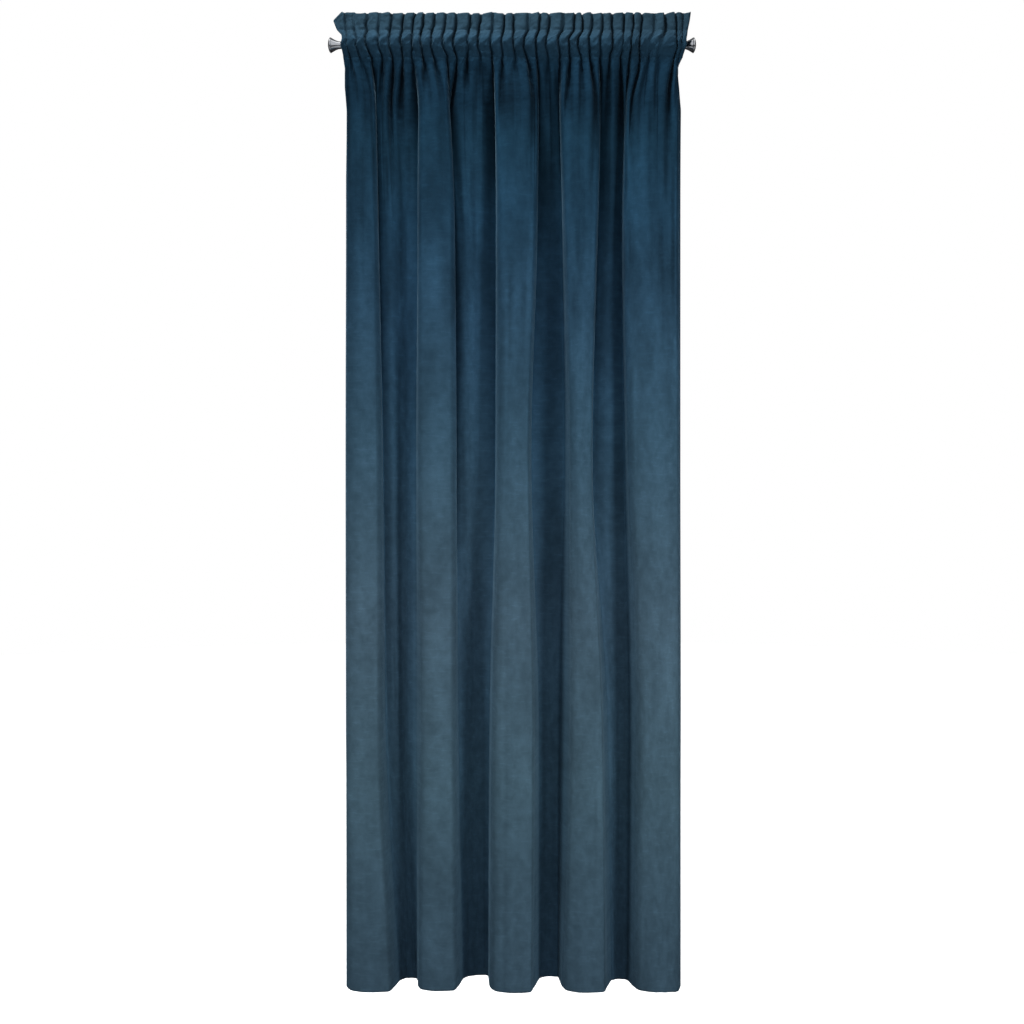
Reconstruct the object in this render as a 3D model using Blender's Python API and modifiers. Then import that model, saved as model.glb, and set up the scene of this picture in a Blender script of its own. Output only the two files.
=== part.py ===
"""A gathered velvet blackout curtain on a plain rod with trumpet finials.

The origin is the middle of the rod's axis. X runs along the rod, +Y points away from the
room and Z is up. The tables are in millimetres, and the meshes in metres.
"""

import math

import bmesh
import bpy
import numpy as np

MM = 0.001

CLOTH_THICKNESS = 1.8
TAPE_THICKNESS = 1.1
TAPE_GAP = 0.5
TAPE_INSET = 0.35  # pleats left bare at each end of the tape
PLEATS = 33
TOP_RISE = 2  # how much higher the frill's top edge is in a valley
SEAM = 35  # the tape's two seams lie this far above and below the rod's axis

ROD_RADIUS = 9.5
ROD_LENGTH = 872
ROD_SIDES = 36
FINIAL_SIDES = 32
FINIAL_GAP = 0.3

# Half of the finial's outline, from the rod's end outwards: along the rod, radius
FINIAL_PROFILE = (
    (0.0, 9.3),
    (7.0, 9.2),
    (13.0, 10.3),
    (19.0, 12.6),
    (25.0, 15.8),
    (29.5, 18.2),
    (30.3, 18.9),
    (32.3, 19.0),
    (33.1, 18.2),
    (35.6, 14.2),
    (37.3, 8.0),
)
FINIAL_LENGTH = 38.0

# The heading: mm below the rod's axis, which x column of VALLEYS holds there,
# y of the pleats' fronts, y of the deepest valleys
HEADING = (
    (-78, 0.0, -14.0, 0.0),
    (-57, 0.5, -13.5, 0.5),
    (-SEAM, 1.0, -12.0, 1.0),
    (-20, 1.5, -19.0, -5.5),
    (-7, 2.0, -25.0, -11.1),
    (7, 2.0, -25.0, -11.1),
    (20, 2.5, -18.5, -5.5),
    (SEAM, 3.0, -12.0, 1.0),
)

# The tape behind the rod: mm below the rod's axis, y of its fronts, y of its folds' backs
TAPE = (
    (-20, 4.5, 13.0),
    (-7, 10.8, 19.0),
    (7, 10.8, 19.0),
    (20, 4.5, 13.0),
)

# The valleys between pleats, left to right: x at the frill, the upper seam, the rod and the
# lower seam, how far below the seam the valley runs, and its share of the full depth at the
# frill, the rod and the lower seam. The first and last rows are the cloth's own edges.
VALLEYS = (
    (-459, -447, -437, -431, 1, 0, 0, 0),
    (-430, -428, -424, -416, 85, 0.5, 0.5, 0.5),
    (-405, -405, -401, -391, 210, 0.3, 0.8, 0.5),
    (-372, -375, -375, -362, 210, 0.7, 0.9, 1),
    (-341, -343, -342, -334, 85, 0.6, 0.9, 0.9),
    (-309, -313, -316, -307, 210, 0.9, 1, 1),
    (-277, -282, -285, -282, 225, 0.9, 1, 1),
    (-250, -257, -258, -257, 180, 1, 1, 0.8),
    (-224, -232, -234, -228, 55, 1, 0.9, 1),
    (-197, -204, -207, -201, 85, 0.8, 1, 0.8),
    (-168, -174, -179, -166, 195, 0.7, 0.9, 0.9),
    (-140, -146, -151, -142, 195, 0.9, 1, 1),
    (-106, -110, -113, -116, 55, 0.9, 0.5, 1),
    (-80, -84, -88, -80, 85, 1, 1, 0.7),
    (-47, -51, -54, -51, 280, 0.3, 0.6, 1),
    (-18, -20, -26, -25, 155, 1, 0.9, 0.9),
    (6, 4, 3, 7, 85, 1, 1, 0.6),
    (46, 41, 30, 39, 265, 0.4, 0.9, 0.9),
    (73, 69, 61, 65, 210, 0.8, 0.9, 0.9),
    (96, 95, 88, 92, 110, 1, 0.7, 0.7),
    (132, 128, 118, 123, 225, 0.4, 0.8, 0.9),
    (162, 158, 146, 148, 110, 1, 1, 1),
    (182, 180, 168, 177, 210, 1, 1, 0.7),
    (207, 203, 196, 200, 210, 0.7, 0.8, 1),
    (234, 231, 225, 226, 210, 0.6, 0.6, 0.9),
    (259, 258, 257, 252, 155, 0.9, 1, 0.9),
    (288, 287, 284, 279, 210, 1, 0.3, 0.9),
    (315, 311, 305, 303, 180, 1, 0.8, 1),
    (335, 333, 327, 329, 265, 1, 0.9, 0.9),
    (368, 365, 354, 350, 210, 0.5, 0.15, 0.4),
    (394, 393, 379, 374, 210, 1, 0.2, 0.4),
    (419, 422, 424, 418, 250, 0.7, 0.8, 1),
    (440, 438, 435, 428, 55, 0.5, 0.3, 0.6),
    (458, 451, 446, 438, 1, 0, 0, 0),
)
VALLEY_X = 4
VALLEY_REACH = 4
VALLEY_SHARES = 5
SHARE_HEIGHTS = (-50, 0, SEAM)  # mm below the rod's axis

# The cloth's side edges: mm below the rod's axis, and how far the left and the right edge
# lie to the right of where the tables above and below put them
EDGES = (
    (-78, 22, 0),
    (-57, -6, 1),
    (-SEAM, -2, 0),
    (-20, 5, 0),
    (0, 0, 0),
    (SEAM, -2, 0),
    (62, 1, -12),
    (75, 0, -11),
    (110, -1, -6),
    (170, 3, 0),
    (250, 2, 0),
    (350, 0, 0),
)

# How deep a full valley is below the lower seam: mm below the rod's axis, depth
OPENING = ((62, 15), (110, 15), (200, 11))

# One pleat across, from a valley's middle to the ridge's: pleats, share of the depth
PLEAT_SHAPE = ((0.0, 1.0), (0.075, 1.0), (0.2, 0.08), (0.5, -0.06))

# Heights at which the long folds are given, in mm below the rod's axis
LEVELS = (160, 450, 1050, 1750, 2422)

# The long folds that stand forward: the pleats at their edges, then at each level
# x of the left edge, x of the right edge and how far the crest stands forward
LOBES = (
    (0.0, 2.8, (-428, -352, 25), (-426, -346, 42), (-427, -335, 50), (-426, -332, 51), (-425, -301, 50)),
    (7.2, 9.8, (-241, -161, 31), (-242, -148, 47), (-242, -144, 56), (-237, -144, 49), (-241, -138, 42)),
    (14.2, 17.8, (-43, 68, 36), (-39, 65, 56), (-39, 48, 63), (-51, 61, 60), (-57, 58, 55)),
    (20.1, 23.85, (124, 227, 36), (133, 221, 56), (145, 206, 59), (146, 236, 58), (129, 245, 53)),
    (27.1, 33.0, (295, 434, 36), (289, 432, 56), (299, 432, 53), (318, 433, 55), (312, 433, 50)),
)

# Such a fold across: share of its pleats, of its width and of how far it stands forward
LOBE_SHAPE = (
    (0.0, 0.0, 0.2),
    (0.18, 0.11, 0.72),
    (0.46, 0.48, 1.0),
    (0.79, 0.89, 0.9),
    (1.0, 1.0, 0.2),
)

# The troughs between them, with the small folds inside: the pleat, then x and y at each level
TROUGHS = (
    (3.4, (-353, 17), (-347, 22), (-336, 25), (-328, 34), (-290, 33)),
    (4.5, (-326, -6), (-319, 5), (-310, 12), (-303, 30), (-275, 46)),
    (5.4, (-307, 15), (-295, 20), (-288, 32), (-286, 45), (-263, 48)),
    (6.5, (-268, 3), (-266, 31), (-266, 39), (-269, 46), (-252, 46)),
    (7.0, (-243, 17), (-244, 25), (-249, 26), (-250, 27), (-245, 29)),
    (10.8, (-162, 17), (-149, 15), (-144, 19), (-140, 41), (-126, 45)),
    (11.6, (-134, -6), (-125, -4), (-122, 5), (-119, 53), (-111, 60)),
    (13.0, (-80, -8), (-83, 4), (-89, 15), (-90, 60), (-82, 68)),
    (13.9, (-45, 20), (-42, 32), (-43, 37), (-60, 50), (-63, 64)),
    (18.1, (68, 17), (66, 28), (50, 33), (71, 43), (74, 48)),
    (19.0, (95, 6), (97, 20), (91, 37), (97, 58), (99, 59)),
    (19.8, (123, 20), (130, 28), (136, 35), (120, 58), (120, 56)),
    (24.2, (228, 17), (222, 22), (208, 24), (250, 31), (260, 33)),
    (25.3, (258, -6), (251, 4), (240, 13), (271, 39), (276, 40)),
    (26.3, (291, 20), (285, 31), (293, 38), (301, 43), (297, 37)),
)

# Rows of the panel's mesh, in mm below the rod's axis: first with every column of every
# pleat, then with as many columns as the long folds need
PLEAT_ROWS = (-78, -57, -35, -20, -7, 7, 20, 35, 62, 110)
DROP_ROWS = (170, 250, 350, 480, 660, 900, 1180, 1480, 1790, 2110, 2422)
DROP_COLUMNS = 84
TAPE_ROWS = (-35, -20, -7, 7, 20, 35)

VELVET = (0.014, 0.052, 0.085)
TAPE_CLOTH = (0.05, 0.09, 0.12)
CHROME = (0.75, 0.76, 0.78)


def smooth(at, values, where):
    """Read monotone cubic curves through values, whose first axis runs along at."""
    at = np.asarray(at, dtype=float)
    values = np.asarray(values, dtype=float)
    where = np.asarray(where, dtype=float)
    column = (-1,) + (1,) * (values.ndim - 1)
    step = np.diff(at).reshape(column)
    slope = np.diff(values, axis=0) / step
    before = slope[:-1]
    after = slope[1:]
    same_way = before * after > 0
    total = np.where(same_way, before + after, 1)
    inner = np.where(same_way, 2 * before * after / total, 0)
    tangent = np.concatenate([slope[:1], inner, slope[-1:]])
    i = np.clip(np.searchsorted(at, where, side="right") - 1, 0, len(at) - 2)
    h = step[i]
    t = (where - at[i]).reshape(column) / h
    ends = values[i] * (1 + 2 * t) * (1 - t) ** 2 + values[i + 1] * t * t * (3 - 2 * t)
    bend = h * t * (1 - t) * ((1 - t) * tangent[i] - t * tangent[i + 1])
    return ends + bend


def fold_points(level):
    """The long folds' points at one level: pleat, x, y, sorted by pleat."""
    points = []
    for left, right, *levels in LOBES:
        x_left, x_right, forward = levels[level]
        for pleat, width, depth in LOBE_SHAPE:
            x = x_left + width * (x_right - x_left)
            points.append((left + pleat * (right - left), x, -depth * forward))
    for pleat, *levels in TROUGHS:
        points.append((pleat, *levels[level]))
    return np.array(sorted(points))


def fronts(pleat, down):
    """The cloth's front surface without its pleats: x and y for each height and pleat."""
    valleys = np.array(VALLEYS)[:, :VALLEY_X]
    across = smooth(np.arange(PLEATS + 1), valleys, pleat).T
    heights = [row[0] for row in HEADING]
    x = list(smooth(np.arange(VALLEY_X), across, [row[1] for row in HEADING]))
    y = [np.full(len(pleat), row[2]) for row in HEADING]
    for level, height in enumerate(LEVELS):
        points = fold_points(level)
        heights.append(height)
        x.append(smooth(points[:, 0], points[:, 1], pleat))
        y.append(smooth(points[:, 0], points[:, 2], pleat))
    return smooth(heights, np.array(x), down), smooth(heights, np.array(y), down)


def pleat_wave(pleat):
    """How far into a valley each pleat position lies: 1 in its middle, about 0 on a ridge."""
    shape = np.array(PLEAT_SHAPE)
    to_valley = np.abs(pleat - np.round(pleat))
    return np.interp(to_valley, shape[:, 0], shape[:, 1])


def valley_depth(pleat, down):
    """Depth of the nearest valley for each height and pleat, fading out below the seam."""
    table = np.array(VALLEYS)
    nearest = np.round(pleat).astype(int)
    share = smooth(SHARE_HEIGHTS, table[nearest, VALLEY_SHARES:].T, np.clip(down, SHARE_HEIGHTS[0], SEAM))
    reach = table[nearest, VALLEY_REACH]
    depths = [(row[0], row[3] - row[2]) for row in HEADING]
    full = np.interp(down, *zip(*depths, *OPENING))
    below = np.clip((down[:, None] - SEAM) / reach, 0, 1)
    return full[:, None] * share * (1 - below**3)


def panel_points(pleat, down):
    """Points of the cloth's middle surface, in mm, for each height and pleat."""
    pleat = np.asarray(pleat, dtype=float)
    down = np.asarray(down, dtype=float)
    x, y = fronts(pleat, down)
    edges = np.array(EDGES)
    left, right = (np.interp(down, edges[:, 0], edges[:, side])[:, None] for side in (1, 2))
    x = x + left * np.clip(1 - pleat, 0, 1) + right * np.clip(pleat - PLEATS + 1, 0, 1)
    wave = pleat_wave(pleat)
    y = y + wave * valley_depth(pleat, down)
    z = np.repeat(-down[:, None], len(pleat), axis=1)
    top = down <= HEADING[0][0]
    z[top] += TOP_RISE * np.clip(wave, 0, 1)
    return np.stack([x, y, z], axis=-1)


def pleat_columns(first, last):
    """Pleat positions that catch both sides of each valley and ridge."""
    half = [pleat for pleat, share in PLEAT_SHAPE[1:]]
    one = half + [1 - place for place in reversed(half[:-1])]
    places = [whole + part for whole in range(PLEATS) for part in one]
    inner = [place for place in places if first < place < last]
    return np.array([first] + inner + [last])


def drop_columns():
    """Pleat positions at equal steps along the cloth, averaged over the drop's rows."""
    fine = np.linspace(0, PLEATS, 20 * PLEATS + 1)
    x, y = fronts(fine, DROP_ROWS)
    length = np.hypot(np.diff(x, axis=1), np.diff(y, axis=1)).mean(axis=0)
    along = np.concatenate([[0], np.cumsum(length)])
    return np.interp(np.linspace(0, along[-1], DROP_COLUMNS), along, fine)


def add_rows(mesh, points):
    """Add a row of vertices for each row of points, and return the rows."""
    return [[mesh.verts.new(point * MM) for point in row] for row in points]


def join_rows(mesh, upper, lower):
    """Fill between two rows of equal length with quads that face the room."""
    for i in range(len(upper) - 1):
        mesh.faces.new((upper[i], lower[i], lower[i + 1], upper[i + 1]))


def zip_rows(mesh, upper, upper_pleat, lower, lower_pleat):
    """Fill between rows of unlike length with triangles, in the order of their pleats."""
    i = 0
    j = 0
    while i < len(upper) - 1 or j < len(lower) - 1:
        upper_left = i < len(upper) - 1
        lower_left = j < len(lower) - 1
        if upper_left and (not lower_left or upper_pleat[i + 1] <= lower_pleat[j + 1]):
            mesh.faces.new((upper[i], lower[j], upper[i + 1]))
            i += 1
        else:
            mesh.faces.new((upper[i], lower[j], lower[j + 1]))
            j += 1


def offset_back(points, distance):
    """Move a row of points back from the room, square to the row, mitred at its corners."""
    along = np.diff(points[:, :2], axis=0)
    along /= np.linalg.norm(along, axis=1)[:, None]
    square = np.stack([-along[:, 1], along[:, 0]], axis=1)
    first = np.vstack([square[:1], square])
    second = np.vstack([square, square[-1:]])
    middle = first + second
    middle /= np.linalg.norm(middle, axis=1)[:, None]
    mitre = distance / np.sum(middle * first, axis=1)
    moved = points.copy()
    moved[:, :2] += middle * mitre[:, None]
    return moved


def material(name, colour, roughness, metallic):
    """A Principled material."""
    made = bpy.data.materials.new(name)
    made.use_nodes = True
    shader = made.node_tree.nodes["Principled BSDF"]
    shader.inputs["Base Color"].default_value = (*colour, 1)
    shader.inputs["Roughness"].default_value = roughness
    shader.inputs["Metallic"].default_value = metallic
    return made


def finish(obj, parts, look):
    """Put an object in the curtain's collection with its material."""
    parts.objects.link(obj)
    obj.data.materials.append(look)
    return obj


def sheet(name, mesh, thickness, parts, look):
    """A closed sheet round an open surface."""
    data = bpy.data.meshes.new(name)
    mesh.to_mesh(data)
    mesh.free()
    data.shade_smooth()
    obj = finish(bpy.data.objects.new(name, data), parts, look)
    shell = obj.modifiers.new("thickness", "SOLIDIFY")
    shell.thickness = thickness * MM
    shell.offset = 0
    return obj


def curtain_panel(parts, look):
    """The velvet: frill, pleats over the rod, and the long folds down to the hem."""
    mesh = bmesh.new()
    columns = pleat_columns(0, PLEATS)
    rows = add_rows(mesh, panel_points(columns, PLEAT_ROWS))
    for upper, lower in zip(rows, rows[1:]):
        join_rows(mesh, upper, lower)
    wide = drop_columns()
    drop = add_rows(mesh, panel_points(wide, DROP_ROWS))
    zip_rows(mesh, rows[-1], columns, drop[0], wide)
    for upper, lower in zip(drop, drop[1:]):
        join_rows(mesh, upper, lower)
    return sheet("curtain_panel", mesh, CLOTH_THICKNESS, parts, look)


def heading_tape(parts, look):
    """The gathered tape behind the rod, which follows the panel's pleats at both seams."""
    mesh = bmesh.new()
    columns = pleat_columns(TAPE_INSET, PLEATS - TAPE_INSET)
    wave = pleat_wave(columns)
    panel = panel_points(columns, TAPE_ROWS)
    back = CLOTH_THICKNESS / 2 + TAPE_GAP + TAPE_THICKNESS / 2
    points = [offset_back(row, back) for row in panel]
    for i, (down, front, fold) in enumerate(TAPE, start=1):
        points[i] = panel[i].copy()
        points[i][:, 1] = front + (fold - front) * np.clip(wave, 0, 1)
    rows = add_rows(mesh, points)
    for upper, lower in zip(rows, rows[1:]):
        join_rows(mesh, upper, lower)
    return sheet("heading_tape", mesh, TAPE_THICKNESS, parts, look)


def rod(parts, look):
    """The plain rod that the curtain is gathered on."""
    mesh = bmesh.new()
    bmesh.ops.create_cone(
        mesh,
        cap_ends=True,
        segments=ROD_SIDES,
        radius1=ROD_RADIUS * MM,
        radius2=ROD_RADIUS * MM,
        depth=ROD_LENGTH * MM,
    )
    data = bpy.data.meshes.new("rod")
    mesh.to_mesh(data)
    mesh.free()
    data.shade_smooth()
    data.set_sharp_from_angle(angle=math.radians(40))
    obj = finish(bpy.data.objects.new("rod", data), parts, look)
    obj.rotation_euler = (0, math.pi / 2, 0)
    return obj


def finial(name, side, parts, look):
    """A trumpet finial, turned about the rod's axis, with a thin rim and a domed face."""
    outline = [(0, FINIAL_LENGTH)]
    outline += [(radius, along) for along, radius in reversed(FINIAL_PROFILE)]
    outline += [(0, 0)]
    data = bpy.data.meshes.new(name)
    vertices = [(radius * MM, 0, along * MM) for radius, along in outline]
    edges = [(i, i + 1) for i in range(len(vertices) - 1)]
    data.from_pydata(vertices, edges, [])
    obj = finish(bpy.data.objects.new(name, data), parts, look)
    turned = obj.modifiers.new("turned", "SCREW")
    turned.steps = FINIAL_SIDES
    turned.render_steps = FINIAL_SIDES
    turned.use_merge_vertices = True
    turned.merge_threshold = 0.00001
    obj.rotation_euler = (0, side * math.pi / 2, 0)
    obj.location.x = side * (ROD_LENGTH / 2 + FINIAL_GAP) * MM
    return obj


def main():
    for obj in list(bpy.data.objects):
        bpy.data.objects.remove(obj, do_unlink=True)
    parts = bpy.data.collections.new("blackout_curtain")
    bpy.context.scene.collection.children.link(parts)
    velvet = material("velvet", VELVET, 0.85, 0)
    tape_cloth = material("tape_cloth", TAPE_CLOTH, 0.9, 0)
    chrome = material("chrome", CHROME, 0.12, 1)
    curtain_panel(parts, velvet)
    heading_tape(parts, tape_cloth)
    rod(parts, chrome)
    finial("finial_left", -1, parts, chrome)
    finial("finial_right", 1, parts, chrome)


main()
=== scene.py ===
"""Looks of a gathered velvet blackout curtain on a rod with trumpet finials.

The cloth's tables are in millimetres, as on the solids; meshes are made in metres.
"""

import math

import bmesh
import bpy
import numpy as np
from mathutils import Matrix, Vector


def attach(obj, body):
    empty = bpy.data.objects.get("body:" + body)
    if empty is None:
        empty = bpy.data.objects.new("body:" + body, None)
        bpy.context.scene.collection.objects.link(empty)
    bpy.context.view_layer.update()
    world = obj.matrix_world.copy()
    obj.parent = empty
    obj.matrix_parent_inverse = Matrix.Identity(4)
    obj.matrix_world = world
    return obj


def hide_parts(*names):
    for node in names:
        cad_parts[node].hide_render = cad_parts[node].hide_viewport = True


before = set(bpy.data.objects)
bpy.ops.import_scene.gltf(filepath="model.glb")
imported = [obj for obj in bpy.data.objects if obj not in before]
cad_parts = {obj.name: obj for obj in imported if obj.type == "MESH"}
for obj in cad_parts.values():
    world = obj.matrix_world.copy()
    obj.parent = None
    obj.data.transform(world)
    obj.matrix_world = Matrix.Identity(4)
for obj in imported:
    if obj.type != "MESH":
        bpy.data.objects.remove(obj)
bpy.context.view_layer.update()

MM = 0.001

# Sizes of the cloth, the tape and the rod. The tape's two seams lie SEAM above and below the
# rod's axis, the frill's top edge FRILL above it and the hem's edge DROP below it.
CLOTH_THICKNESS = 1.8
TAPE_THICKNESS = 1.1
PLEATS = 33
PLEAT_CLOTH = 42.4
SEAM = 35
DROP = 2422
FRILL = 78
SIDE_HEM = 28
BOTTOM_HEM = 95
ROD_LENGTH = 872
FINIAL_GAP = 0.3
FLOOR = -2.48

# The heading: mm below the rod's axis, which x column of VALLEYS holds there,
# y of the pleats' fronts, y of the deepest valleys
HEADING = (
    (-78, 0.0, -14.0, 0.0),
    (-57, 0.5, -13.5, 0.5),
    (-SEAM, 1.0, -12.0, 1.0),
    (-20, 1.5, -19.0, -5.5),
    (-7, 2.0, -25.0, -11.1),
    (7, 2.0, -25.0, -11.1),
    (20, 2.5, -18.5, -5.5),
    (SEAM, 3.0, -12.0, 1.0),
)

# The tape behind the rod: mm below the rod's axis, y of its fronts, y of its folds' backs
TAPE = (
    (-SEAM, -8.0, 3.0),
    (-20, 4.5, 13.0),
    (-7, 10.8, 19.0),
    (7, 10.8, 19.0),
    (20, 4.5, 13.0),
    (SEAM, -8.0, 3.0),
)

# How far the tape lies behind the panel at the seams, with room for the panel's small creases.
# It starts TAPE_INSET pleats from the panel's sides and ends TAPE_MARGIN past each seam.
TAPE_GAP = 0.9
TAPE_INSET = 0.35
TAPE_MARGIN = 1.5
TAPE_ROWS = 27

# The valleys between pleats, left to right: x at the frill, the upper seam, the rod and the
# lower seam, how far below the seam the valley runs, and its share of the full depth at the
# frill, the rod and the lower seam. The first and last rows are the cloth's own edges.
VALLEYS = (
    (-459, -447, -437, -431, 1, 0, 0, 0),
    (-430, -428, -424, -416, 85, 0.5, 0.5, 0.5),
    (-405, -405, -401, -391, 210, 0.3, 0.8, 0.5),
    (-372, -375, -375, -362, 210, 0.7, 0.9, 1),
    (-341, -343, -342, -334, 85, 0.6, 0.9, 0.9),
    (-309, -313, -316, -307, 210, 0.9, 1, 1),
    (-277, -282, -285, -282, 225, 0.9, 1, 1),
    (-250, -257, -258, -257, 180, 1, 1, 0.8),
    (-224, -232, -234, -228, 55, 1, 0.9, 1),
    (-197, -204, -207, -201, 85, 0.8, 1, 0.8),
    (-168, -174, -179, -166, 195, 0.7, 0.9, 0.9),
    (-140, -146, -151, -142, 195, 0.9, 1, 1),
    (-106, -110, -113, -116, 55, 0.9, 0.5, 1),
    (-80, -84, -88, -80, 85, 1, 1, 0.7),
    (-47, -51, -54, -51, 280, 0.3, 0.6, 1),
    (-18, -20, -26, -25, 155, 1, 0.9, 0.9),
    (6, 4, 3, 7, 85, 1, 1, 0.6),
    (46, 41, 30, 39, 265, 0.4, 0.9, 0.9),
    (73, 69, 61, 65, 210, 0.8, 0.9, 0.9),
    (96, 95, 88, 92, 110, 1, 0.7, 0.7),
    (132, 128, 118, 123, 225, 0.4, 0.8, 0.9),
    (162, 158, 146, 148, 110, 1, 1, 1),
    (182, 180, 168, 177, 210, 1, 1, 0.7),
    (207, 203, 196, 200, 210, 0.7, 0.8, 1),
    (234, 231, 225, 226, 210, 0.6, 0.6, 0.9),
    (259, 258, 257, 252, 155, 0.9, 1, 0.9),
    (288, 287, 284, 279, 210, 1, 0.3, 0.9),
    (315, 311, 305, 303, 180, 1, 0.8, 1),
    (335, 333, 327, 329, 265, 1, 0.9, 0.9),
    (368, 365, 354, 350, 210, 0.5, 0.15, 0.4),
    (394, 393, 379, 374, 210, 1, 0.2, 0.4),
    (419, 422, 424, 418, 250, 0.7, 0.8, 1),
    (440, 438, 435, 428, 55, 0.5, 0.3, 0.6),
    (458, 451, 446, 438, 1, 0, 0, 0),
)
VALLEY_X = 4
VALLEY_REACH = 4
VALLEY_SHARES = 5
SHARE_HEIGHTS = (-50, 0, SEAM)

# The cloth's side edges: mm below the rod's axis, and how far the left and the right edge
# lie to the right of where the tables above and below put them
EDGES = (
    (-78, 22, 0),
    (-57, -6, 1),
    (-SEAM, -2, 0),
    (-20, 5, 0),
    (0, 0, 0),
    (SEAM, -2, 0),
    (62, 1, -12),
    (75, 0, -11),
    (110, -1, -6),
    (170, 3, 0),
    (250, 2, 0),
    (350, 0, 0),
)

# A valley runs on below the seam for its reach in VALLEYS times the first of these plus the
# second, in mm, and the third says how late it fades
REACH_TIMES = 1.6
REACH_MORE = 15
REACH_FADE = 1.7

# How deep a full valley is below the lower seam: mm below the rod's axis, depth
OPENING = ((62, 15), (110, 15), (200, 11))

# One pleat across, from a valley's middle to the ridge's: pleats, share of the depth
PLEAT_SHAPE = (
    (0.0, 1.0),
    (0.06, 0.96),
    (0.1, 0.74),
    (0.14, 0.3),
    (0.18, 0.06),
    (0.26, -0.02),
    (0.5, -0.07),
)

# How the valleys widen below the lower seam: mm below it from and to, share of their width
WIDENING = ((0, 60, 0.9), (60, 200, 0.6))

# How far the valleys of the heading wander to and fro, in pleats
WANDER = 0.06

# The frill's top edge: how far it wanders, dips on a ridge and rises from there in a valley
FRILL_WANDER = 1.6
TOP_DIP = 0.6
TOP_RISE = 2

# Heights at which the long folds are given, in mm below the rod's axis
LEVELS = (160, 450, 1050, 1750, 2422)

# The long folds that stand forward: the pleats at their edges, then at each level
# x of the left edge, x of the right edge and how far the crest stands forward
LOBES = (
    (0.0, 2.8, (-428, -352, 25), (-426, -346, 42), (-427, -335, 50), (-426, -332, 51), (-425, -301, 50)),
    (7.2, 9.8, (-241, -161, 31), (-242, -148, 47), (-242, -144, 56), (-237, -144, 49), (-241, -138, 42)),
    (14.2, 17.8, (-43, 68, 36), (-39, 65, 56), (-39, 48, 63), (-51, 61, 60), (-57, 58, 55)),
    (20.1, 23.85, (124, 227, 36), (133, 221, 56), (145, 206, 59), (146, 236, 58), (129, 245, 53)),
    (27.1, 33.0, (295, 434, 36), (289, 432, 56), (299, 432, 53), (318, 433, 55), (312, 433, 50)),
)

# Such a fold across: share of its pleats, of its width and of how far it stands forward
LOBE_SHAPE = (
    (0.0, 0.0, 0.2),
    (0.18, 0.11, 0.72),
    (0.46, 0.48, 1.0),
    (0.79, 0.89, 0.9),
    (1.0, 1.0, 0.2),
)

# The troughs between them, with the small folds inside: the pleat, then x and y at each level
TROUGHS = (
    (3.4, (-353, 17), (-347, 22), (-336, 25), (-328, 34), (-290, 33)),
    (4.5, (-326, -6), (-319, 5), (-310, 12), (-303, 30), (-275, 46)),
    (5.4, (-307, 15), (-295, 20), (-288, 32), (-286, 45), (-263, 48)),
    (6.5, (-268, 3), (-266, 31), (-266, 39), (-269, 46), (-252, 46)),
    (7.0, (-243, 17), (-244, 25), (-249, 26), (-250, 27), (-245, 29)),
    (10.8, (-162, 17), (-149, 15), (-144, 19), (-140, 41), (-126, 45)),
    (11.6, (-134, -6), (-125, -4), (-122, 5), (-119, 53), (-111, 60)),
    (13.0, (-80, -8), (-83, 4), (-89, 15), (-90, 60), (-82, 68)),
    (13.9, (-45, 20), (-42, 32), (-43, 37), (-60, 50), (-63, 64)),
    (18.1, (68, 17), (66, 28), (50, 33), (71, 43), (74, 48)),
    (19.0, (95, 6), (97, 20), (91, 37), (97, 58), (99, 59)),
    (19.8, (123, 20), (130, 28), (136, 35), (120, 58), (120, 56)),
    (24.2, (228, 17), (222, 22), (208, 24), (250, 31), (260, 33)),
    (25.3, (258, -6), (251, 4), (240, 13), (271, 39), (276, 40)),
    (26.3, (291, 20), (285, 31), (293, 38), (301, 43), (297, 37)),
)

# Columns in one pleat, and stretches of rows: mm below the rod's axis, number of rows
PLEAT_COLUMNS = (0.0, 0.06, 0.1, 0.14, 0.19, 0.3, 0.5, 0.7, 0.81, 0.86, 0.9, 0.94)
ROW_STRETCHES = ((-78, -35, 13), (-35, 45, 36), (45, 210, 27), (210, 700, 15), (700, 2300, 23))
HEM_ROWS = (2322, 2330, 2360, 2400, 2416, 2422)

# Each pleat's own random values lie between two limits: mm below the rod's axis of its first
# tuck, the tuck's slant and height in mm, mm to its second tuck, which way and how strongly it
# leans, and mm below the rod's axis where its leaning ends
PLEAT_CHANCES = ((-11, 2), (16, 36), (3.0, 6.5), (9, 19), (-0.5, 1.4), (170, 620))

# Soft creases all over: seed of the random heights, mm below the rod's axis where they begin,
# are full, begin to fade and are gone, how high they stand, how many go in a pleat, mm from one
# to the next down the cloth, mm where the first is, and how many there are down the cloth. The
# first row is full from the cloth's top on, and the last doesn't fade.
CREASES = (
    (11, -99, -98, -44, -30, 1.8, 3.0, 16, -FRILL, 5),
    (17, 40, 70, 380, 900, 6.5, 2.2, 190, -50, 8),
    (37, 45, 75, 170, 420, 4.0, 4.0, 120, -50, 6),
    (19, 150, 500, 9000, 9001, 2.6, 0.9, 330, -20, 10),
)

# The puckers along both seams: height, how far they spread, and how far from a seam the cloth
# is flat
PUCKER_HEIGHT = 1.6
PUCKER_SPREAD = 11
SEAM_FLAT = 4.5

# How far apart a pleat's two sides lean at a value of 1
LEAN = 10

# How far a crease may press in away from the seams, where the tape lies close behind
ROOM_FOR_CREASES = 6

# A hem's turned cloth ends over this distance to both sides of its line, at the sides and at
# the bottom, and the hem is this much thicker than the cloth
SIDE_HEM_STEP = 4
BOTTOM_HEM_STEP = 3
HEM_THICKNESS = 1.0

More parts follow.
